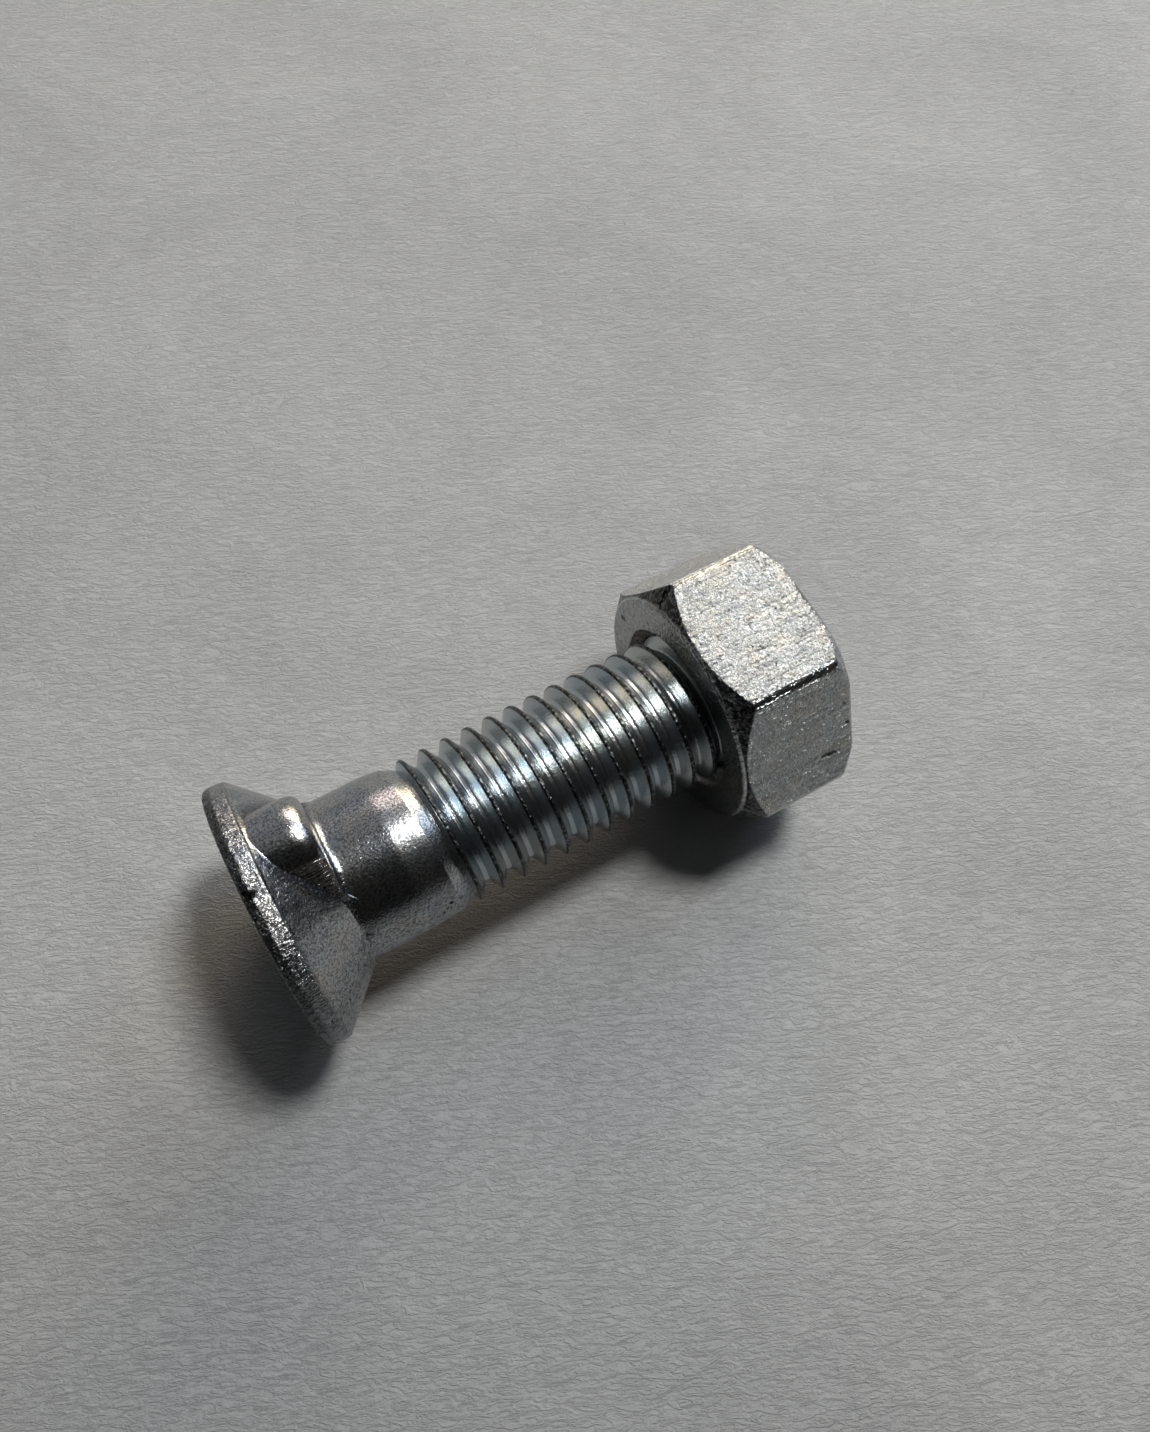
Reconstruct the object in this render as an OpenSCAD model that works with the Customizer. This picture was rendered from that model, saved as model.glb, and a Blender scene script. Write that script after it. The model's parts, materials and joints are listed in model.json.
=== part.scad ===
// Plow bolt: a flat countersunk bolt with one nib on its cone, and the hex nut that runs on its thread.
// The bolt lies at rest on its head rim and on one flat of the nut, with its axis close to +X.
// Each piece is built about the bolt axis: x runs from the outer face of the head (x = 0) to the
// bolt end, and angles turn from +Y towards +Z. Then the whole part is laid down on z = 0.

/* [Head] */
// Diameter over the rim of the head
head_d = 16.8; // [15:0.1:22]
// Width of the straight rim band
rim_w = 1.35; // [0.8:0.05:2.5]
// Half angle of the cone under the head, measured from the bolt axis
cone_angle = 46; // [40:1:50]
// Rounding of the rim's outer edge
rim_round = 0.3; // [0.1:0.05:0.5]
// Fillet radius where the cone meets the shank
neck_fillet = 0.6; // [0.2:0.1:1.2]

/* [Nib] */
// Angle of the nib about the bolt axis
nib_angle = 74.5; // [0:0.5:359.5]
// Height of the nib crest above the bolt axis
nib_crest = 8.15; // [7:0.05:8.3]
// Crest rounding across the nib
nib_round = 2.6; // [1:0.05:2.9]
// Slope of each nib flank from the nib's own mid plane
flank_angle = 24.5; // [15:0.5:32]
// How far the nib runs past the end of the cone
nib_overrun = 0.3; // [0:0.05:1]
// Rounding of the crest at the shank end
nib_end_round = 1.1; // [0.5:0.1:1.5]

/* [Shank] */
// Length of the bolt over all
bolt_len = 35; // [30:1:60]
// Shank diameter next to the head
shank_d = 10.1; // [9.5:0.05:11]
// Shank diameter at its threaded end
shank_end_d = 9.9; // [9.4:0.05:10.9]
// Distance from the head's outer face to the end of the plain shank
shank_end = 10.1; // [8:0.1:14]

/* [Thread] */
// Outside diameter over the thread crests
thread_d = 9.85; // [9.7:0.01:10]
// Thread pitch
pitch = 1.5; // [1.25:0.05:1.75]
// Diameter of the rolling blank, seen where the thread runs out below the shank
blank_d = 9; // [8.9:0.05:9.2]
// Length of the chamfer on the bolt end
end_chamfer = 1; // [0.5:0.1:1.5]
// Place of the crest line at angle 0, in the turn where the thread begins
thread_place = 9.39; // [8.5:0.01:10.5]
// Angle at which the thread begins to rise out of the shank
thread_begins = 150; // [0:5:355]
// Facets round one turn of the thread
turn_facets = 40; // [24:4:60]

/* [Nut] */
// Width across flats
nut_af = 15.75; // [14:0.05:19]
// Height of the nut
nut_h = 8; // [6:0.05:10]
// Distance from the nut's bearing face to the bolt end
nut_back = 6.75; // [4:0.25:16]
// Diameter of the flat bearing face
bearing_d = 15.2; // [13.5:0.1:15.6]
// Slope of the chamfer at the bearing face
bearing_chamfer = 42; // [15:1:48]
// Diameter to which the far face's corners are turned
far_d = 16.3; // [13.5:0.1:16.6]
// Slope of the chamfer at the far face
far_chamfer = 38; // [15:1:48]
// Diameter at the mouth of the countersinks
sink_d = 11.2; // [10.3:0.1:12]
// Running clearance between the bore and the thread crests, on the radius
bore_clear = 0.06; // [0.02:0.01:0.1]

/* [Hidden] */
round_facets = 96;
sunk = 0.5;

// Head and nib
head_r = head_d / 2;
shank_r = shank_d / 2;
cone_end = rim_w + (head_r - shank_r) / tan(cone_angle);
nib_end = cone_end + nib_overrun;
nib_centre = nib_crest - nib_round;

// Thread: 60 degree flanks, a crest flat of an eighth and a root flat of a quarter of the pitch
thread_r = thread_d / 2;
root_r = thread_r - 5 / 8 * pitch * sqrt(3) / 2;
blank_r = blank_d / 2;
thread_profile = [[-3 / 8, root_r], [-1 / 16, thread_r], [1 / 16, thread_r], [3 / 8, root_r]];
thread_x0 = thread_place + pitch * thread_begins / 360;
fade_steps = turn_facets / 2;
thread_steps = ceil((bolt_len + pitch - thread_x0) / pitch + 1) * turn_facets;

// The shank steps down to the rolling blank, which is buried in the thread after its first turn
step_end = shank_end + shank_end_d / 2 - blank_r;
blank_end = thread_x0 + pitch * 5 / 8;
core_end = blank_end + blank_r - root_r + sunk;

// Nut
corner_r = nut_af / sqrt(3);
nut_at = bolt_len - nut_back;
nut_end = nut_at + nut_h;
bore_r = thread_r + bore_clear;

// Lying pose: the rim edge and the far edge of one nut flat both touch z = 0
flat_end = nut_end - max(0, (nut_af - far_d) / 2 * tan(far_chamfer));
lie_angle = atan((head_r - nut_af / 2) / (flat_end - rim_w));
lie_height = rim_w * sin(lie_angle) + head_r * cos(lie_angle);
lie_back = (nut_end * cos(lie_angle) + (min(far_d, nut_af) / 2 - head_r + rim_round) * sin(lie_angle)) / 2;

// Lays a shape built about the bolt axis down on z = 0, centred along X
module laid_down() {
    translate([-lie_back, 0, lie_height]) rotate([0, lie_angle, 0]) children();
}

// Turns a profile of [radius, x] points about the bolt axis
module turned(points) {
    rotate([0, 90, 0]) rotate_extrude($fn = round_facets) polygon(points);
}

// Points of an arc in a turned profile; angle 0 points away from the axis and 90 towards the bolt end
function arc(centre, radius, a0, a1, count = 6) =
    [for (i = [0:count]) let (a = a0 + (a1 - a0) * i / count) centre + radius * [cos(a), sin(a)]];

// Head, cone, neck fillet and plain shank, down to the blank that the thread is rolled on
module head_and_shank() {
    turned(concat(
        [[0, 0]],
        arc([head_r - rim_round, rim_round], rim_round, -90, 0),
        [[head_r, rim_w]],
        arc([shank_r + neck_fillet, cone_end + neck_fillet * tan(cone_angle / 2)], neck_fillet,
            cone_angle - 180, -180),
        [[shank_end_d / 2, shank_end], [blank_r, step_end], [blank_r, blank_end],
         [root_r - sunk, core_end], [0, core_end]]
    ));
}

// Nib: a wedge with a rounded crest, cut off square to the axis just past the cone
module nib() {
    // Foot of each flank, taken down inside the shank
    foot = shank_r * 0.6;
    tip = [nib_round * cos(flank_angle), nib_centre + nib_round * sin(flank_angle)];
    foot_w = tip[0] + (tip[1] - foot) * tan(flank_angle);
    rotate([nib_angle - 90, 0, 0]) intersection() {
        // Section across the nib, seen along the bolt axis
        rotate([90, 0, 90]) linear_extrude(nib_end + 1) union() {
            translate([0, nib_centre]) circle(r = nib_round, $fn = 48);
            polygon([[-foot_w, foot], [-tip[0], tip[1]], [tip[0], tip[1]], [foot_w, foot]]);
        }
        // Side view, with the crest rounded over at the shank end
        rotate([90, 0, 0]) linear_extrude(4 * foot_w, center = true) union() {
            translate([rim_w / 2, 0]) square([nib_end - nib_end_round - rim_w / 2, nib_crest + 1]);
            translate([rim_w / 2, 0]) square([nib_end - rim_w / 2, nib_crest - nib_end_round]);
            translate([nib_end - nib_end_round, nib_crest - nib_end_round])
                circle(r = nib_end_round, $fn = 48);
        }
    }
}

// Rolled thread: one ridge wound round the axis, rising out of the blank over half a turn
module thread() {
    points = [for (j = [0:thread_steps]) for (p = thread_profile)
        let (turn = j / turn_facets, angle = thread_begins + 360 * turn,
             rise = min(1, j / fade_steps), radius = (blank_r - 0.08) * (1 - rise) + p[1] * rise)
        [thread_x0 + pitch * (turn + p[0]), radius * cos(angle), radius * sin(angle)]];
    last = thread_steps;
    start_tip = len(points);
    end_tip = len(points) + 1;
    side_faces = [for (j = [0:last - 1]) for (p = [0:2])
        [4 * j + p, 4 * j + p + 1, 4 * (j + 1) + p + 1, 4 * (j + 1) + p]];
    root_faces = [for (j = [0:last - turn_facets - 1])
        [4 * j + 3, 4 * (j + turn_facets), 4 * (j + 1 + turn_facets), 4 * (j + 1) + 3]];
    start_faces = concat(
        [for (j = [0:turn_facets - 1]) [start_tip, 4 * j, 4 * (j + 1)]],
        [[start_tip, 4 * turn_facets, 3]],
        [for (p = [0:2]) [start_tip, p + 1, p]]);
    end_faces = concat(
        [for (j = [last - turn_facets:last - 1]) [end_tip, 4 * (j + 1) + 3, 4 * j + 3]],
        [[end_tip, 4 * (last - turn_facets) + 3, 4 * last]],
        [for (p = [0:2]) [end_tip, 4 * last + p, 4 * last + p + 1]]);
    tips = [[thread_x0 - pitch, 0, 0], [thread_x0 + pitch * (last / turn_facets + 1), 0, 0]];
    intersection() {
        polyhedron(concat(points, tips), concat(side_faces, root_faces, start_faces, end_faces));
        // The bolt end is flat, with its first thread chamfered
        turned([[0, 0], [thread_r + 1, 0], [thread_r + 1, bolt_len - end_chamfer - 1],
                [thread_r - end_chamfer, bolt_len], [0, bolt_len]]);
    }
}

module bolt() {
    color("silver") laid_down() union() {
        head_and_shank();
        nib();
        thread();
    }
}

// Hex nut: a hexagon with turned chamfers at both ends, bored and countersunk
module nut() {
    sink = sink_d / 2 - bore_r;
    mouth_r = sink_d / 2 + 1;
    color("lightgray") laid_down() difference() {
        intersection() {
            rotate([90, 0, 90]) linear_extrude(nut_end + 1) circle(r = corner_r, $fn = 6);
            turned([[0, nut_at], [bearing_d / 2, nut_at],
                    [corner_r + 1, nut_at + (corner_r + 1 - bearing_d / 2) * tan(bearing_chamfer)],
                    [corner_r + 1, nut_end - (corner_r + 1 - far_d / 2) * tan(far_chamfer)],
                    [far_d / 2, nut_end], [0, nut_end]]);
        }
        // Bore with a 45 degree countersink at each end
        turned([[0, nut_at - 1], [mouth_r, nut_at - 1], [bore_r, nut_at + sink],
                [bore_r, nut_end - sink], [mouth_r, nut_end + 1], [0, nut_end + 1]]);
    }
}

bolt();
nut();
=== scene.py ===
# A plow bolt and its hex nut in bright zinc plate, lying on crumpled paper.
import math
import bpy
import numpy as np
from mathutils import Matrix
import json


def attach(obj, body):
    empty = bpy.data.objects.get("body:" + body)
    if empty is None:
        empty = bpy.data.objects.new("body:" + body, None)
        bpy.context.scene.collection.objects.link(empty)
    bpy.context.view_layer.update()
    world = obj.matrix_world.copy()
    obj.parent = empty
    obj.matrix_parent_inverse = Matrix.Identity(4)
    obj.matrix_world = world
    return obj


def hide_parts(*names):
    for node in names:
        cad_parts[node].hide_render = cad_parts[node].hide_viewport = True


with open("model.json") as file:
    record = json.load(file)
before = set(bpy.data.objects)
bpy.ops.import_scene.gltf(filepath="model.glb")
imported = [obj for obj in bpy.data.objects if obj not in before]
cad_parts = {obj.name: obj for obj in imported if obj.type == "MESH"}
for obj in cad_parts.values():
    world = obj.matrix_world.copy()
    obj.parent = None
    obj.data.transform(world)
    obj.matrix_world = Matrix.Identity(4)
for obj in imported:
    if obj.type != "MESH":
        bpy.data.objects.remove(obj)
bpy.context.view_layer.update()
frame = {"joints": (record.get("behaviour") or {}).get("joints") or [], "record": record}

# Camera: a short lens held close over the bolt, a little towards its head. Places on the bolt are given
# about its axis, which is the joint's: x in mm from the head's outer face, and angles that turn from +Y
# towards the top.
axis = np.array(frame["joints"][0]["axis"], float)
axis /= np.linalg.norm(axis)
face_centre = np.array([m["pos_m"] for m in frame["record"]["mounts"] if m["name"] == "head_face"][0])
across = np.array([0.0, 1.0, 0.0])
upward = np.cross(axis, across)


def about_axis(x, radius, angle):
    """Points in metres in the shared frame: from the face's centre, x along the axis, and out by the
    radius times (cos angle across + sin angle upward)."""
    x, radius, angle = np.broadcast_arrays(x, radius, angle)
    mm = (x[..., None] * axis + (radius * np.cos(angle))[..., None] * across
          + (radius * np.sin(angle))[..., None] * upward)
    return face_centre + mm / 1000


def placed(x_way, y_way, z_way, place):
    """The matrix that turns an object's three axes to these directions and moves it to the place."""
    return Matrix(np.vstack([np.column_stack([x_way, y_way, z_way, place]), [0, 0, 0, 1]]).tolist())


camera = bpy.data.objects.new("camera", bpy.data.cameras.new("camera"))
bpy.context.scene.collection.objects.link(camera)
lens_x, lens_across, lens_up = 5.716, -19.319, 62.165  # mm
lens_at = about_axis(lens_x, math.hypot(lens_across, lens_up), math.atan2(lens_up, lens_across))
rightward = np.array([0.869227, -0.493266, 0.033672])
skyward = np.array([0.45056, 0.81833, 0.356835])
camera.matrix_world = placed(rightward, skyward, np.cross(rightward, skyward), lens_at)
camera.data.sensor_fit = "HORIZONTAL"
camera.data.sensor_width = 36
camera.data.lens = 33.2552
camera.data.shift_x, camera.data.shift_y = 0.009523, 0.037952
camera.data.clip_start, camera.data.clip_end = 0.002, 20
bpy.context.scene.camera = camera
bpy.context.scene.view_settings.view_transform = "Standard"


# Paper: a sheet of uncoated pale grey packing paper, flat on the bench.
# It has been crumpled and smoothed again, so it is covered in short fine creases.
def grid_faces(index):
    """One quad between each four neighbours of a grid of vertex numbers."""
    return np.stack([index[:-1, :-1], index[1:, :-1], index[1:, 1:], index[:-1, 1:]], -1).reshape(-1, 4)


def new_piece(name, points, faces, material, **marks):
    """A smooth mesh object from points in metres and lists of faces, with a number at each vertex for each
    mark. Points that coincide, as at a pole, are joined, so that no face is empty."""
    mesh = bpy.data.meshes.new(name)
    mesh.from_pydata(points.reshape(-1, 3).tolist(), [], [f for group in faces for f in group.tolist()])
    for mark, values in marks.items():
        layer = mesh.attributes.new(mark, "FLOAT", "POINT")
        layer.data.foreach_set("value", np.ravel(values).astype(np.float32))
    mesh.materials.append(material)
    mesh.shade_smooth()
    piece = bpy.data.objects.new(name, mesh)
    bpy.context.scene.collection.objects.link(piece)
    piece.modifiers.new("join coincident points", "WELD").merge_threshold = 1e-7
    return piece


def hex_colour(code):
    """Linear colour from an sRGB hex value: s / 12.92 for dark parts, else ((s + 0.055) / 1.055) ^ 2.4."""
    s = np.array([int(code[i:i + 2], 16) for i in (1, 3, 5)]) / 255
    return (*np.where(s <= 0.04045, s / 12.92, ((s + 0.055) / 1.055) ** 2.4), 1.0)


def add_node(tree, kind, settings=None, stops=(), **sockets):
    """Adds a node with its settings, gives a colour ramp its (place, hex colour) stops, and fills or
    links the node's inputs by name; i0, i1 and so on go by number."""
    made = tree.nodes.new("ShaderNode" + kind)
    for key, value in (settings or {}).items():
        setattr(made, key, value)
    if stops:
        elements = made.color_ramp.elements
        while len(elements) < len(stops):
            elements.new(0.5)
        for element, (position, code) in zip(elements, stops):
            element.position, element.color = position, hex_colour(code)
    for key, value in sockets.items():
        by_number = key[0] == "i" and key[1:].isdigit()
        socket = made.inputs[int(key[1:]) if by_number else key.replace("_", " ")]
        if isinstance(value, bpy.types.NodeSocket):
            tree.links.new(value, socket)
        else:
            socket.default_value = value
    return made


def new_finish(name):
    """A material with its Principled shader, and the object coordinates that its pattern reads."""
    material = bpy.data.materials.new(name)
    material.use_nodes = True
    tree = material.node_tree
    return material, tree, tree.nodes["Principled BSDF"], add_node(tree, "TexCoord").outputs["Object"]


# Settings that many nodes share
stretched, dot = {"vector_type": "TEXTURE"}, {"operation": "DOT_PRODUCT"}
eased, blended = {"interpolation_type": "SMOOTHSTEP"}, {"data_type": "RGBA"}
um, per_mm = 1e-6, 1000  # a micrometre in metres, and the noise scale with one patch to a millimetre

# Uncoated paper scatters light evenly, so it is matt and stays pale from every side. Its creases are about
# a millimetre long and a third as wide, and run mostly one way; its soft folds are about 26 mm apart.
paper_finish, tree, shader, place = new_finish("uncoated_paper_crumpled")
crease_way = add_node(tree, "Mapping", stretched, Vector=place, Rotation=(0, 0, math.radians(-27)),
                      Scale=(0.0011, 0.00036, 0.001))
creases = add_node(tree, "TexNoise", Vector=crease_way.outputs[0], Scale=1.0, Detail=4.0, Roughness=0.65,
                   Distortion=1.7).outputs["Fac"]
folds = add_node(tree, "TexNoise", Vector=place, Scale=0.038 * per_mm, Detail=3.0, Roughness=0.55,
                 Distortion=0.5).outputs["Fac"]
fibre = add_node(tree, "TexNoise", Vector=place, Scale=5 * per_mm, Detail=2.0, Roughness=0.6).outputs["Fac"]
tone = add_node(tree, "ValToRGB", stops=((0.3, "#9C9D9D"), (0.7, "#A8A9A8")), Fac=folds).outputs["Color"]
# Painted shade: the sheet is painted a tone darker towards the camera's side, where less light falls on it
painted_shade_to_camera = add_node(tree, "VectorMath", dot, i0=place, i1=(-0.55, -0.83, 0)).outputs["Value"]
painted_shade_to_camera = add_node(tree, "MapRange", eased, Value=painted_shade_to_camera, i1=0.016, i2=0.075).outputs[0]
tone = add_node(tree, "Mix", blended, i0=painted_shade_to_camera, i6=tone, i7=hex_colour("#6E7071")).outputs[2]
tree.links.new(tone, shader.inputs["Base Color"])
shader.inputs["Roughness"].default_value = 0.9
shader.inputs["Specular IOR Level"].default_value = 0.25
sharp = add_node(tree, "MapRange", eased, Value=creases, i1=0.38, i2=0.66).outputs[0]
bump = add_node(tree, "Bump", Height=sharp, Distance=50 * um, Strength=1.0).outputs[0]
bump = add_node(tree, "Bump", Height=folds, Distance=1600 * um, Strength=0.7, Normal=bump).outputs[0]
bump = add_node(tree, "Bump", Height=fibre, Distance=40 * um, Strength=1.0, Normal=bump).outputs[0]
tree.links.new(bump, shader.inputs["Normal"])
paper_half, paper_lines = 1.2, 9  # half the sheet's width in metres, and the lines of its grid each way
u, v = np.meshgrid(*[np.linspace(-paper_half, paper_half, paper_lines)] * 2, indexing="ij")
paper_grid = np.arange(paper_lines ** 2).reshape(paper_lines, paper_lines)
paper = new_piece("paper", np.stack([u, v, 0 * u], -1), [grid_faces(paper_grid)], paper_finish)

# Light: one lamp high over the nut end casts the shadows. Three weak panes stand on the far side: cool sky
# and a warm wall are seen in the thread's flanks, and a pale pane lights the shank's end. Elsewhere it is dark.
lamp_away = 0.6  # metres from the bolt


def soft_light(name, way, wide_m, tall_m, power, code):
    """An oval area light in the direction given, facing the bolt; tall_m is measured along Y."""
    way = np.array(way) / np.linalg.norm(way)
    lamp = bpy.data.lights.new(name, "AREA")
    lamp.shape, lamp.size, lamp.size_y, lamp.energy = "ELLIPSE", wide_m, tall_m, power
    lamp.color = hex_colour(code)[:3]
    made = bpy.data.objects.new(name, lamp)
    bpy.context.scene.collection.objects.link(made)
    side = np.cross([0, 1, 0], way)
    side /= np.linalg.norm(side)
    made.matrix_world = placed(side, np.cross(way, side), way, lamp_away * way)


soft_light("lamp", (0.40, 0.09, 0.91), 0.13, 0.13, 2.75, "#FFFEFC")
soft_light("pane", (0.30, 0.80, 0.52), 0.15, 0.36, 0.38, "#FFE9E6")
soft_light("sky", (0.70, 0.28, 0.65), 0.36, 0.36, 1.0, "#CFE3FA")
soft_light("wall", (0.60, 0.70, 0.38), 0.36, 0.36, 1.6, "#FFEDCC")
room = bpy.data.worlds.new("room")
room.use_nodes = True
bpy.context.scene.world = room
tree = room.node_tree
seen = add_node(tree, "TexCoord").outputs["Generated"]
toward = add_node(tree, "VectorMath", dot, i0=seen, i1=(0.2, 0.9, 0.38)).outputs["Value"]
level = add_node(tree, "MapRange", Value=toward, i1=-1.0, i2=1.0).outputs[0]
tone = add_node(tree, "ValToRGB", stops=((0.0, "#1A1918"), (0.55, "#242322"), (0.75, "#5A5C5E"), (1.0, "#8E9296")),
                Fac=level).outputs["Color"]
tree.links.new(tone, tree.nodes["Background"].inputs["Color"])
tree.nodes["Background"].inputs["Strength"].default_value = 1.0


# Head and shank: cold-forged in steel and zinc plated, with one nib left standing on the cone to stop it
# turning. The rim is rough from the die, and the shank is smooth down to the shoulder before the thread.
def rounded(outline, columns):
    """Rows of x and radius along an outline, with a column for each angle. Each corner of the outline gives
    its x, its radius, its rounding, the rows round it and the rows on to the next. Inner corners C are
    replaced by the curve (1-s)^2 A + 2s(1-s) C + s^2 B between points A and B on their two sides."""
    x, radius, rounding = (np.stack([np.broadcast_to(corner[part], columns) for corner in outline], 1)
                           for part in range(3))
    corners, turns, runs = np.stack([x, radius], -1), [c[3] for c in outline], [c[4] for c in outline]
    rows, last = [corners[:, 0]], corners[:, 0]
    for i in range(1, corners.shape[1] - 1):
        c = corners[:, i]
        a, b = corners[:, i - 1] - c, corners[:, i + 1] - c
        la, lb = np.linalg.norm(a, axis=1), np.linalg.norm(b, axis=1)
        a, b = a / np.maximum(la, 1e-9)[:, None], b / np.maximum(lb, 1e-9)[:, None]
        half = (math.pi - np.arccos(np.clip((a * b).sum(1), -1, 1))) / 2
        reach = np.maximum(rounding[:, i], 0.05) * np.tan(half) + 0.01
        reach = np.minimum(reach, 0.48 * np.minimum(la, lb))[:, None]
        start, end = c + a * reach, c + b * reach
        rows += [last + (start - last) * k / runs[i - 1] for k in range(1, runs[i - 1] + 1)]
        rows += [(1 - s) ** 2 * start + 2 * s * (1 - s) * c + s * s * end
                 for s in np.arange(1, turns[i] + 1) / turns[i]]
        last = end
    rows += [last + (corners[:, -1] - last) * k / runs[-2] for k in range(1, runs[-2] + 1)]
    return np.stack(rows)


def smooth_step(t):
    """3t^2 - 2t^3 for t from 0 to 1."""
    t = np.clip(t, 0, 1)
    return t * t * (3 - 2 * t)


def smooth_max(a, b, k):
    """The larger of a and b, with the valley between them filled over k: b + (a - b) t + k t (1 - t),
    where t runs from 0 to 1 as a - b goes from -k to k."""
    t = np.clip(0.5 + 0.5 * (a - b) / k, 0, 1)
    return b + (a - b) * t + k * t * (1 - t)


def closed_lathe(x, radius, angle):
    """Points and faces of a turned shape whose first and last rows are points on the axis: a grid of quads
    round the axis, and a fan of triangles at each end."""
    rows, columns = x.shape
    points = about_axis(x[1:-1], radius[1:-1], angle[None])
    ends = about_axis(x[[0, -1], 0], np.zeros(2), np.zeros(2))
    index = np.arange((rows - 2) * columns).reshape(rows - 2, columns)
    index = np.column_stack([index, index[:, 0]])
    first, last = (rows - 2) * columns, (rows - 2) * columns + 1
    fan = lambda row, tip: np.column_stack([np.full(columns, tip), row[:-1], row[1:]])
    return (np.vstack([points.reshape(-1, 3), ends]),
            [grid_faces(index)[:, ::-1], fan(index[0], first)[:, ::-1], fan(index[-1], last)])


# Sizes in mm: the nib's crest is a circle of nib_round that reaches nib_crest from the axis
head_r, rim_w, shank_r, cone_slope = 8.4, 1.35, 5.05, math.tan(math.radians(46))
nib_crest, nib_round, nib_angle, flank = 8.15, 2.6, math.radians(74.5), math.radians(65.5)
neck_x, neck_set_back, nib_slope, fillet = 4.63, 0.62, 0.0968, 0.14
shoulder_at, shoulder_slant, shoulder_from = 9.17, 0.0052, math.radians(-60)
shank_columns = 560
angle = np.linspace(0, 2 * np.pi, shank_columns, endpoint=False)
from_nib = np.abs((angle - nib_angle + np.pi) % (2 * np.pi) - np.pi)
# Height of the nib: the crest circle, then the straight flank tangent to it, as seen along the axis
crest_y = nib_crest - nib_round
circle = crest_y * np.cos(from_nib)
circle += np.sqrt(np.maximum(nib_round ** 2 - (crest_y * np.sin(from_nib)) ** 2, 0))
tangent = math.atan2(nib_round * math.sin(flank), crest_y + nib_round * math.cos(flank))
side_r = (crest_y * math.cos(flank) + nib_round) / np.maximum(np.cos(flank - from_nib), 0.05)
height = np.where(from_nib < tangent, circle, np.where(from_nib < math.radians(80), side_r, 0))
height = smooth_max(height, shank_r, fillet)
stands = smooth_step((height - shank_r) / fillet)
cone_x = rim_w + (head_r - height) / cone_slope
spread = 1 - smooth_step((height - shank_r) / 0.4)  # 1 beside the nib, where the cone runs down to the neck
foot_x = neck_x + neck_set_back * spread
top_x = foot_x + nib_slope * (height - shank_r) - fillet * spread
# The shoulder runs a little aslant, by shoulder_slant mm for each degree
shoulder_x = shoulder_at + shoulder_slant * np.degrees((angle - shoulder_from) % (2 * np.pi))
# The forging's rim wanders by a few hundredths of a millimetre, and its outer edge is finely chipped
uneven = sum(deep * np.sin(waves * angle + start)
             for deep, waves, start in ((0.02, 3, 1), (0.02, 7, 0), (0.012, 17, 2), (0.01, 31, 0)))
chipped = uneven + sum(deep * np.sin(waves * angle + sway * np.sin(swing * angle))
                       for deep, waves, sway, swing in ((0.015, 67, 4, 5), (0.012, 113, 3, 11)))
profile = rounded([
    (0, 0, 0, 0, 12),  # centre of the outer face
    (0, head_r - 0.2 + chipped, 0.22, 7, 4),  # its edge
    (0.6 + uneven, head_r + 0.4 * uneven, 2, 5, 4),  # the rim, slightly crowned
    (rim_w + uneven, head_r - 0.105 + 0.4 * uneven, 0.2, 6, 24),  # the cone starts
    (cone_x, height, 0.16 + 0.24 * spread, 7, 14),  # the cone ends, at the nib's top or at the neck
    (top_x, height, 1.5 * stands + 0.01, 9, 10),  # the nib's top ends
    (foot_x, shank_r, 0.5, 7, 10),  # the shank starts
    (8.3, 5.06, 6, 8, 4),  # it swells by a hair
    (shoulder_x, 4.93, 0.16, 5, 5),  # the shoulder
    (shoulder_x + 0.85, 4.48, 0.1, 2, 3),  # the blank that the thread is rolled on
    (12.2, 3.8, 0.1, 2, 3),  # hidden inside the thread
    (12.6, 0, 0, 0, 0)], shank_columns)
px, pr = profile[..., 0], profile[..., 1]
points, faces = closed_lathe(px, pr, angle)

# Marks: how pitted the skin is, where it is streaked along the axis by the die or scraped, and where the cone is
# darker beside the nib.
# Each starts at the x or radius given in mm, and fades in over the mm that it is divided by.
on_rim = smooth_step((1.5 - px) / 0.15) * smooth_step((pr - 7.8) / 0.3)
on_nib = smooth_step((pr - shank_r - 0.15) / 0.2) * smooth_step((px - cone_x[None] + 0.02) / 0.1)
on_flank = from_nib > tangent
on_cone = (1 - on_rim) * (1 - on_nib) * smooth_step((5.0 - px) / 0.3)
under = smooth_step((np.cos(angle - math.radians(205)) - 0.45) / 0.4)[None] * smooth_step(px / 0.3)
outer = on_rim * smooth_step((0.8 - px) / 0.35)
pitted = 0.45 * on_rim + 0.6 * outer + 0.5 * on_cone * (0.3 + 0.7 * under) + 0.7 * under * (1 - on_nib) + 0.04
pitted = np.clip(pitted, 0, 1)
# A darker purple band on the cone, within about a millimetre of where it meets the nib
dark_by_nib = (on_cone * smooth_step(1.1 - (pr - height) / 1.0) * smooth_step((px - 1.5) / 0.3)
           * smooth_step((height - shank_r) / 0.4))
forged_marks = {"pitted": pitted, "streaked": on_rim + on_nib * (0.15 + 1.3 * on_flank), "dark_by_nib": dark_by_nib,
                "outer": outer, "scraped": on_nib * on_flank,
                "dull": 0.25 * pitted + 0.2 * smooth_step((px - 8.0) / 0.5)}
forged_marks = {name: np.append(np.ravel(np.broadcast_to(value, px.shape)[1:-1]), [0, 0])
                for name, value in forged_marks.items()}


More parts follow.
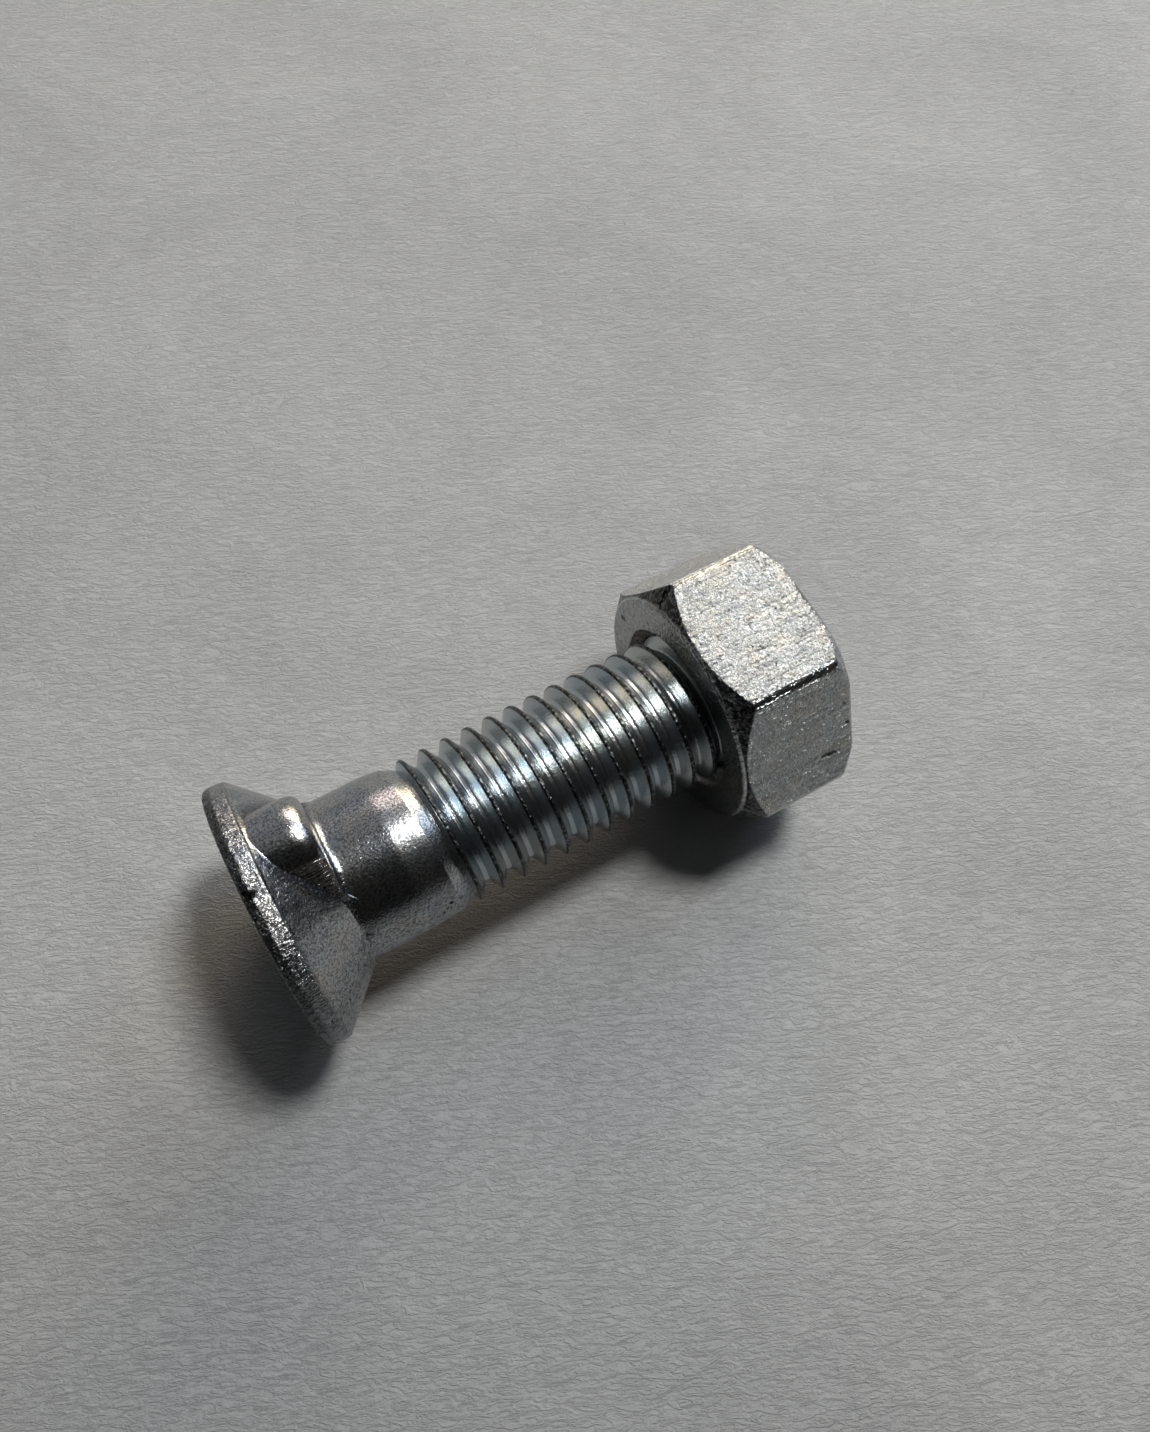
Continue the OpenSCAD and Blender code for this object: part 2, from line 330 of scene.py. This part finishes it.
def zinc_plate(name, tints, cloud_mm, grain_mm, grain_um, low_rough, high_rough, marks):
    """Bright zinc: a metal whose tint drifts over cloud_mm, with a plated grain of the size and height given.
    It is rougher by 0.3 where the first of its marks is 1. Returns the material, its tree and shader, object
    coordinates, the tint and bump to build on, and the sockets that read the marks."""
    material, tree, shader, place = new_finish(name)
    shader.inputs["Metallic"].default_value = 1.0
    at = {mark: add_node(tree, "Attribute", {"attribute_name": mark}).outputs["Fac"] for mark in marks}
    cloud = add_node(tree, "TexNoise", Vector=place, Scale=per_mm / cloud_mm, Detail=3.0, Roughness=0.6)
    tint = add_node(tree, "ValToRGB", stops=tints, Fac=cloud.outputs["Fac"]).outputs["Color"]
    grain = add_node(tree, "TexNoise", Vector=place, Scale=per_mm / grain_mm, Detail=3.0, Roughness=0.6)
    rough = add_node(tree, "MapRange", Value=grain.outputs["Fac"], i1=0.35, i2=0.65, i3=low_rough, i4=high_rough)
    rough = add_node(tree, "Math", {"operation": "MULTIPLY_ADD"}, i0=at[marks[0]], i1=0.3, i2=rough.outputs[0])
    tree.links.new(rough.outputs[0], shader.inputs["Roughness"])
    bump = add_node(tree, "Bump", Height=grain.outputs["Fac"], Distance=grain_um * um, Strength=1.0)
    return material, tree, shader, place, tint, bump.outputs[0], at


def confined(tree, *pairs):
    """Each pattern times the mark or the number beside it."""
    return [add_node(tree, "Math", {"operation": "MULTIPLY"}, i0=pattern, i1=share).outputs[0]
            for pattern, share in pairs]


def covered(tree, colour, *layers):
    """The colour under layers of (amount, hex colour), each of which hides it where its amount is 1."""
    for amount, code in layers:
        colour = add_node(tree, "Mix", blended, i0=amount, i6=colour, i7=hex_colour(code)).outputs[2]
    return colour


def spots(tree, place, *places_mm):
    """1 inside small round spots given as x, y, z and radius in mm, from half the radius inwards."""
    total = 0.0
    for *centre, radius in places_mm:
        centre = [c / 1000 for c in centre]
        far = add_node(tree, "VectorMath", {"operation": "DISTANCE"}, i0=place, i1=centre).outputs["Value"]
        near = add_node(tree, "MapRange", Value=far, i1=radius / 1000, i2=radius / 2000).outputs[0]
        total = add_node(tree, "Math", {"operation": "MAXIMUM"}, i0=near, i1=total).outputs[0]
    return total


# Bright zinc on forged steel is a satin mirror with cool and warm clouds and a fine dark speckle. Pits a
# fifth of a millimetre across are dark and dull, and die streaks run along the axis.
zinc_forged, tree, shader, place, tint, bump, at = zinc_plate(
    "bright_zinc_on_forged_steel", ((0.32, "#B0B6BC"), (0.5, "#C0C2C2"), (0.68, "#C4BFBA")),
    2.2, 0.14, 14, 0.15, 0.21, ("dull", "pitted", "streaked", "dark_by_nib", "outer", "scraped"))
pits = add_node(tree, "TexNoise", Vector=place, Scale=4.6 * per_mm, Detail=2.0, Roughness=0.5).outputs["Fac"]
pits = add_node(tree, "MapRange", eased, Value=pits, i1=0.54, i2=0.63, i4=0.8).outputs[0]
blotch = add_node(tree, "TexNoise", Vector=place, Scale=1.5 * per_mm, Detail=3.0, Roughness=0.6).outputs["Fac"]
streak_way = add_node(tree, "Mapping", stretched, Vector=place, Scale=(0.0022, 0.00013, 0.00013)).outputs[0]
streaks = add_node(tree, "TexNoise", Vector=streak_way, Scale=1.0, Detail=3.0, Roughness=0.6).outputs["Fac"]
dirty = add_node(tree, "MapRange", eased, Value=streaks, i1=0.5, i2=0.68, i4=0.5).outputs[0]
speckle = add_node(tree, "TexNoise", Vector=place, Scale=8.2 * per_mm, Detail=3.0, Roughness=0.65).outputs["Fac"]
speckle = add_node(tree, "MapRange", eased, Value=speckle, i1=0.46, i2=0.6, i4=0.65).outputs[0]
pits, blotch, dirty, streaks = confined(
    tree, (pits, at["pitted"]), (blotch, at["pitted"]), (dirty, at["streaked"]), (streaks, at["streaked"]))
pale_blotch, dark_by_nib_tint, edge, scrape = confined(
    tree, (blotch, 0.75), (at["dark_by_nib"], 0.65), (at["outer"], 0.6), (at["scraped"], 0.6))
# A gouge in the rim and a few black specks where the plating missed
specks = spots(tree, place, (-17.43, -1.01, 16.75, 0.42), (-14.94, -1.83, 14.71, 0.13), (-15.78, -1.97, 15.61, 0.08),
               (-17.76, -0.77, 16.78, 0.3), (-8.33, -4.75, 9.83, 0.2), (-8.66, -4.84, 9.52, 0.14),
               (-8.95, -4.9, 9.25, 0.18))
tint = covered(tree, tint, (speckle, "#44464E"), (pale_blotch, "#54565A"), (dark_by_nib_tint, "#45424F"), (dirty, "#3A302C"),
               (edge, "#3E3F3F"), (scrape, "#4B3C36"), (pits, "#1E1C1B"), (specks, "#0C0B0B"))
tree.links.new(tint, shader.inputs["Base Color"])
bump = add_node(tree, "Bump", Height=streaks, Distance=80 * um, Strength=1.0, Normal=bump).outputs[0]
bump = add_node(tree, "Bump", Height=blotch, Distance=220 * um, Strength=1.0, Normal=bump).outputs[0]
bump = add_node(tree, "Bump", {"invert": True}, Height=pits, Distance=50 * um, Strength=1.0, Normal=bump).outputs[0]
tree.links.new(bump, shader.inputs["Normal"])
head = new_piece("bolt_head_and_shank", points, faces, zinc_forged, **forged_marks)
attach(head, "bolt")
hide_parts("bolt")

# Thread: rolled between dies on the same piece of steel, whose metal flows up into crests with a fine seam
# along the top. It rises out of the blank over half a turn and runs to the chamfered end of the bolt.
turn = 2 * np.pi
pitch, thread_r, blank_r, bolt_end, chamfer = 1.5, 4.925, 4.5, 35.0, 1.0
crest_at = 0.39  # x of the crest's middle at angle 0
root_r = thread_r - 5 / 8 * pitch * math.sqrt(3) / 2
turn_steps, last_turn, hidden_turns, closing = 120, 25.7, 2.1, 1.2  # the hidden start closes over closing mm
half = np.array([0.015, 0.04, 0.06, 0.08, 0.105, 0.15, 0.21, 0.28, 0.34, 0.38, 0.42, 0.46])
profile_at = np.concatenate([[-0.5], -half[::-1], half])  # pitches from the crest's middle


def thread_height(a, flat, root_flat, round_by):
    """Radius share from 0 at the root to 1 at the crest, a pitches from the crest's middle: a straight
    flank between two flats, its corners eased with a smooth minimum and maximum."""
    straight = (0.5 - root_flat / 2 - np.abs(a)) / (0.5 - root_flat / 2 - flat / 2)
    low = smooth_max(straight, 0, round_by)
    return 1 - smooth_max(1 - low, 0, round_by)


share = thread_height(profile_at, 0.11, 0.2, 0.05)
begin = math.radians(150) + 6 * turn
wind = np.arange(begin - hidden_turns * turn, last_turn * turn, turn / turn_steps)
rise = smooth_step((wind - begin) / np.pi)[:, None]
x = crest_at + pitch * wind[:, None] / turn + pitch * profile_at[None]
radius = blank_r + rise * (root_r + (thread_r - root_r) * share[None] - blank_r)
x_start = crest_at + pitch * begin / turn - closing
limit = np.where(x < bolt_end, thread_r - np.maximum(x - (bolt_end - chamfer), 0),
                 (thread_r - chamfer) * np.clip(1 - (x - bolt_end) / pitch, 0, 1))
limit = np.where(x < x_start, blank_r * np.clip((x - x_start) / closing + 1, 0, 1), limit)
radius = np.minimum(radius, limit)
x = np.clip(x, x_start - closing, bolt_end)
index = np.arange(x.size).reshape(x.shape)
joined = np.column_stack([index[:-turn_steps], index[turn_steps:, 0]])
points = about_axis(x, radius, wind[:, None])
thread_faces = [grid_faces(joined), grid_faces(index[-turn_steps - 1:])]
# Bright zinc on rolled steel is smoother and bluer than on the forging, with soft highlights along each
# flank. The seam on the crest holds dirt and is broken up along its length.
zinc_rolled, tree, shader, place, tint, bump, at = zinc_plate(
    "bright_zinc_on_rolled_thread", ((0.3, "#A9B7C0"), (0.5, "#B6BDC0"), (0.7, "#BBBCB4")),
    5.0, 0.16, 18, 0.2, 0.27, ("rubbed", "seam", "crest"))
crumbs = add_node(tree, "TexNoise", Vector=place, Scale=5.2 * per_mm, Detail=2.0, Roughness=0.6).outputs["Fac"]
seam = add_node(tree, "MapRange", eased, Value=crumbs, i1=0.36, i2=0.5).outputs[0]
smeared = add_node(tree, "MapRange", eased, Value=crumbs, i1=0.36, i2=0.54).outputs[0]
seam, smeared, torn, worn, dusty = confined(
    tree, (seam, at["seam"]), (smeared, at["crest"]), (crumbs, at["crest"]), (at["crest"], 0.6), (crumbs, 0.3))
tint = covered(tree, tint, (worn, "#4A4A48"), (smeared, "#2C2A28"), (dusty, "#3E4448"), (seam, "#1C1A18"))
tree.links.new(tint, shader.inputs["Base Color"])
bump = add_node(tree, "Bump", Height=torn, Distance=100 * um, Strength=1.0, Normal=bump).outputs[0]
tree.links.new(bump, shader.inputs["Normal"])
# The crest's marks end where the chamfer cuts the crest away
apart, whole = np.abs(profile_at), smooth_step((bolt_end - 0.8 * chamfer - x) / 0.3)
thread = new_piece("bolt_thread", points, thread_faces, zinc_rolled,
                   seam=whole * smooth_step((0.035 - np.abs(profile_at + 0.06)) / 0.02),
                   crest=whole * smooth_step((0.10 - apart) / 0.03),
                   rubbed=0.3 * whole * smooth_step((0.10 - apart) / 0.03))
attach(thread, "bolt")
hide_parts("bolt")

# Nut: a cold-formed steel hexagon with turned chamfers, countersunk at both mouths, tapped right through and
# zinc plated. It is run up near the end of the bolt and turns freely on the thread.
nut_af, nut_at, nut_end, bore_r, mouth_r = 15.75, 28.25, 36.25, 5.0, 5.6
bearing_r, mouth_deep, nut_middle, nut_columns = 7.6, 0.6, 32.0, 600
angle = np.linspace(0, 2 * np.pi, nut_columns, endpoint=False)
angle = angle - 0.8 * np.sin(6 * angle) / 6  # columns stand closer together near the corners
from_flat = angle % (np.pi / 3) - np.pi / 6
flat_r = nut_af / 2 / np.cos(from_flat)
corner_r = nut_af / math.sqrt(3)
hexagon = -smooth_max(-flat_r, -(corner_r - 0.1), 0.07)
far_r = -smooth_max(0.25 - hexagon, -8.05, 0.1)
near_slope, far_slope = math.tan(math.radians(42)), math.tan(math.radians(36))
near_x = nut_at + (hexagon - bearing_r) * near_slope
far_x = nut_end - 0.3 - smooth_max(hexagon - 8.15, 0, 0.1) * far_slope
profile = rounded([
    (nut_middle, bore_r, 0, 0, 3),  # halfway along the bore
    (nut_at + mouth_deep, bore_r, 0.1, 2, 4),
    (nut_at, mouth_r, 0.12, 3, 8),  # the near mouth
    (nut_at, bearing_r, 0.14, 4, 8),  # the bearing face ends
    (near_x, hexagon, 0.2, 5, 24),  # the near chamfer ends
    (far_x, hexagon, 0.5, 5, 6),  # the far chamfer starts
    (nut_end, far_r, 0.4, 6, 8),
    (nut_end, mouth_r, 0.12, 3, 4),  # the far mouth
    (nut_end - mouth_deep, bore_r, 0.1, 2, 3),
    (nut_middle, bore_r, 0, 0, 0)], nut_columns)[:-1]
px, pr = profile[..., 0], profile[..., 1]
index = np.arange(px.size).reshape(px.shape)
index = np.column_stack([np.vstack([index, index[:1]]), np.append(index[:, 0], index[0, 0])])
body_points = about_axis(px, pr, angle[None])
body_faces = grid_faces(index)[:, ::-1]
# The tapped thread: one closed bar wound along the bore, its tip in the bolt's groove and its foot in the wall
ridge_r = np.array([5.5, 5.0, 4.62, 4.26, 4.19, 4.19, 4.26, 4.62, 5.0, 5.5])
ridge_at = np.array([-0.64, -0.625, -0.40, -0.21, -0.13, 0.13, 0.21, 0.40, 0.625, 0.64])
ridge_steps, ridge_turns, first_turn = 96, 6.2, 18
wall_r, ridge_inset = 6.4, 0.25  # inside the nut's metal, where the bar's foot and its ends are hidden
wind = turn * (np.arange(int(ridge_turns * ridge_steps)) / ridge_steps) + turn * first_turn
x = crest_at + pitch / 2 + pitch * wind[:, None] / turn + ridge_at[None]
mouth = np.maximum(mouth_r + 0.05 - (x - nut_at), mouth_r + 0.05 - (nut_end - x))
radius = np.minimum(np.maximum(ridge_r[None], mouth), wall_r)
x = np.clip(x, nut_at + ridge_inset, nut_end - ridge_inset)
bar = np.arange(x.size).reshape(x.shape) + px.size
bar_faces = [grid_faces(np.column_stack([bar, bar[:, 0]]))[:, ::-1], bar[:1], bar[-1:, ::-1]]
points = np.vstack([body_points.reshape(-1, 3), about_axis(x, radius, wind[:, None]).reshape(-1, 3)])
# Marks: the drawn flats are dull but for their polished corners, and the near chamfer and bearing face get a mottled
# painted shade
corner = smooth_step(1.2 - (np.pi / 6 - np.abs(from_flat)) * 8.9 / 0.38)
flat = smooth_step((pr - hexagon + 0.05) / 0.05)
near_chamfer = np.where(pr > 7.7, smooth_step((pr - 7.7) / 0.15) * (1 - flat), 0)
near_chamfer = np.maximum(near_chamfer, 0.45 * (px < nut_at + 0.05)) * (px < nut_at + 2)
nut_marks = {"drawn": 0.4 * flat * (1 - corner), "skin": smooth_step((pr - 7.75) / 0.15) * (1 - 0.8 * corner),
             "chamfer": near_chamfer}
nut_marks = {name: np.append(np.ravel(value), np.zeros(x.size)) for name, value in nut_marks.items()}
# Bright zinc on a cold-formed nut sparkles where the lamp catches the grain of its skin. Draw lines of the
# hexagon bar run along the axis, with dark pits and a few nicks from handling.
zinc_nut, tree, shader, place, tint, bump, at = zinc_plate(
    "bright_zinc_on_formed_nut", ((0.32, "#C2C7CA"), (0.5, "#CCCFCF"), (0.68, "#D0CDC7")),
    1.6, 0.2, 25, 0.12, 0.2, ("drawn", "skin", "chamfer"))
line_way = add_node(tree, "Mapping", stretched, Vector=place, Scale=(0.003, 0.0002, 0.0002)).outputs[0]
lines = add_node(tree, "TexNoise", Vector=line_way, Scale=1.0, Detail=2.0, Roughness=0.5).outputs["Fac"]
rough_skin = add_node(tree, "TexNoise", Vector=place, Scale=4.2 * per_mm, Detail=3.0, Roughness=0.6).outputs["Fac"]
pits = add_node(tree, "MapRange", eased, Value=rough_skin, i1=0.60, i2=0.74).outputs[0]
fine = add_node(tree, "TexNoise", Vector=place, Scale=6.5 * per_mm, Detail=2.0, Roughness=0.5).outputs["Fac"]
fine = add_node(tree, "MapRange", eased, Value=fine, i1=0.46, i2=0.62, i4=0.35).outputs[0]
lined = add_node(tree, "MapRange", eased, Value=lines, i1=0.5, i2=0.66, i4=0.4).outputs[0]
# Painted shade: the near chamfer and bearing face, which face the head, are painted dark in a mottle
skin, mottled_painted_shade = confined(tree, (rough_skin, at["skin"]), (rough_skin, at["chamfer"]))
mottled_painted_shade, = confined(tree, (mottled_painted_shade, 1.8))
nicks = spots(tree, place, (15.71, -7.79, 10.18, 0.2), (15.90, -7.80, 10.20, 0.22), (16.12, -7.80, 10.17, 0.24),
              (16.34, -7.81, 10.12, 0.24), (16.55, -7.83, 10.09, 0.2), (16.9, -7.84, 10.05, 0.12),
              (17.62, -6.90, 11.68, 0.2), (10.15, 6.69, 9.37, 0.3), (10.15, 6.85, 9.22, 0.2))
tint = covered(tree, tint, (fine, "#55585A"), (lined, "#55585A"), (mottled_painted_shade, "#1E1C1B"), (pits, "#1E1C1B"),
               (nicks, "#100F0E"))
tree.links.new(tint, shader.inputs["Base Color"])
bump = add_node(tree, "Bump", Height=lines, Distance=90 * um, Strength=1.0, Normal=bump).outputs[0]
bump = add_node(tree, "Bump", Height=skin, Distance=240 * um, Strength=1.0, Normal=bump).outputs[0]
bump = add_node(tree, "Bump", {"invert": True}, Height=nicks, Distance=100 * um, Strength=1.0, Normal=bump).outputs[0]
tree.links.new(bump, shader.inputs["Normal"])
nut = new_piece("hex_nut", points, [body_faces, *bar_faces], zinc_nut, **nut_marks)
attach(nut, "nut")
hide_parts("nut")
